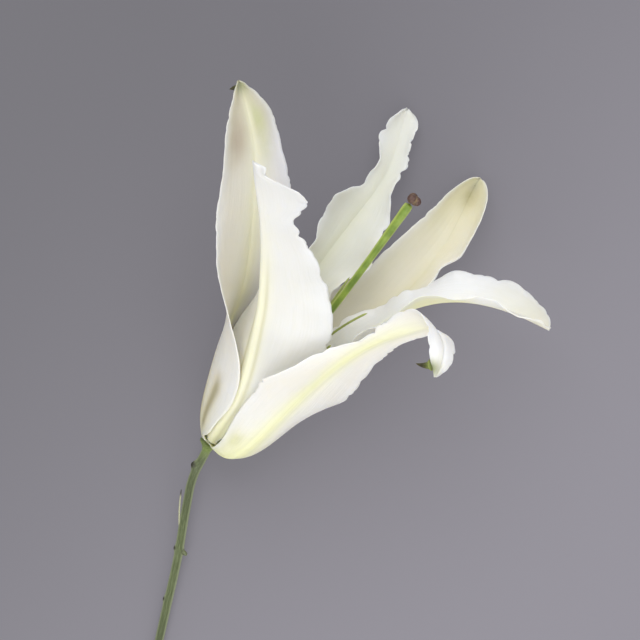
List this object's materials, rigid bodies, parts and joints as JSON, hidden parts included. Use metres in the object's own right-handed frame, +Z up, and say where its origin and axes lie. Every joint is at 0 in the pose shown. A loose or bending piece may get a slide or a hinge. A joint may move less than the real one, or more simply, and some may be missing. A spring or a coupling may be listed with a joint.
{
  "type": "cut lily flower",
  "caption": "Open white lily flower on its cut green stem, lying down, with ruffled petals, curled sepals, a pistil and bare filaments.",
  "frame": {"origin": "the middle of the bounding box, on the surface that the flower lies on", "axes": "+Z up off the surface, +Y from the cut end of the stem towards the flower's mouth, +X to the right of that as seen from above"},
  "size_m": [0.1477, 0.2345, 0.1178],
  "materials": {
    "sepal_left": "soft satin petal, slightly translucent",
    "petal_front": "soft satin petal, slightly translucent",
    "sepal_curled": "soft satin petal, slightly translucent",
    "petal_right": "soft satin petal, slightly translucent",
    "sepal_back": "soft satin petal, slightly translucent",
    "petal_back": "soft satin petal, slightly translucent",
    "pistil": "smooth waxy green",
    "stigma": "matt, velvety brown-purple",
    "filament": "smooth waxy green",
    "stem": "smooth waxy green"
  },
  "bodies": {
    "root": {"sepal_left": "sepal_left", "petal_front": "petal_front", "sepal_curled": "sepal_curled", "petal_right": "petal_right", "sepal_back": "sepal_back", "petal_back": "petal_back", "pistil": "pistil", "stigma": "stigma", "filament_1": "filament", "filament_2": "filament", "filament_3": "filament", "filament_4": "filament", "filament_5": "filament", "filament_6": "filament", "stem": "stem"}
  },
  "joints": []
}
